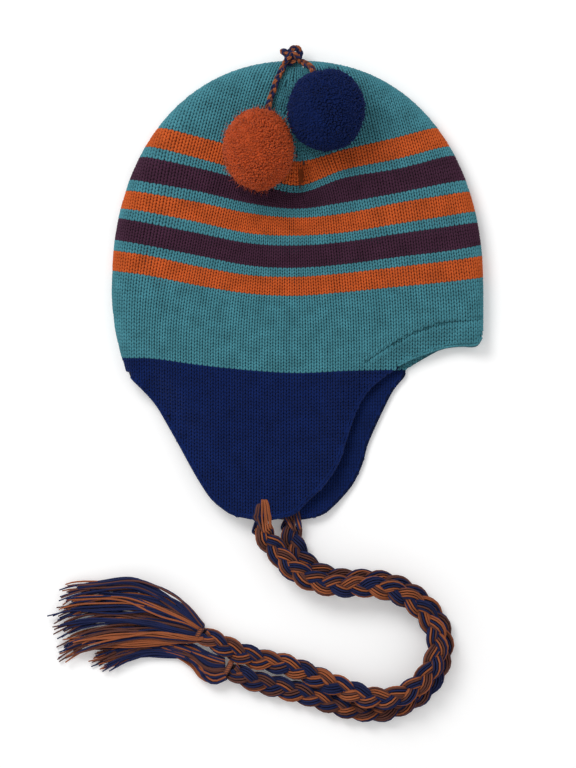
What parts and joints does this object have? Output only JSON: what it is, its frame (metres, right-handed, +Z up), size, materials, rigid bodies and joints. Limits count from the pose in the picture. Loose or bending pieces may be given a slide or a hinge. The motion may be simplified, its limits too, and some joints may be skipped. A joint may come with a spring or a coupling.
{
  "type": "chullo hat",
  "caption": "Knitted chullo hat with ear flaps, braided cords ending in tassels and pompoms at the crown, lying flat on its side.",
  "frame": {"origin": "on the surface that the hat lies on, below the middle of the hat's box without its braids and tassels", "axes": "+Y towards the top of the crown, +X towards the hat's front edge, +Z up from the surface"},
  "size_m": [0.2788, 0.418, 0.0598],
  "materials": {
    "teal_knit": "teal acrylic knit in stocking stitch, matte",
    "blue_knit": "royal blue acrylic knit in stocking stitch, matte",
    "purple_knit": "plum purple acrylic knit stripes, matte",
    "orange_yarn": "burnt orange acrylic yarn, cut or knitted, matte",
    "blue_yarn": "royal blue acrylic yarn, cut, matte",
    "braid_yarn": "orange and blue acrylic yarns plaited together, matte"
  },
  "bodies": {
    "root": {"crown": "teal_knit", "ear_flaps": "blue_knit", "top_knot": "braid_yarn", "orange_pompom_cord": "braid_yarn", "blue_pompom_cord": "braid_yarn", "orange_pompom": "orange_yarn", "blue_pompom": "blue_yarn", "near_braid_hitch": "braid_yarn", "far_braid_hitch": "braid_yarn", "near_braid": "braid_yarn", "far_braid": "braid_yarn", "near_tassel_tie": "braid_yarn", "far_tassel_tie": "braid_yarn", "near_tassel": "braid_yarn", "far_tassel": "braid_yarn"}
  },
  "joints": []
}
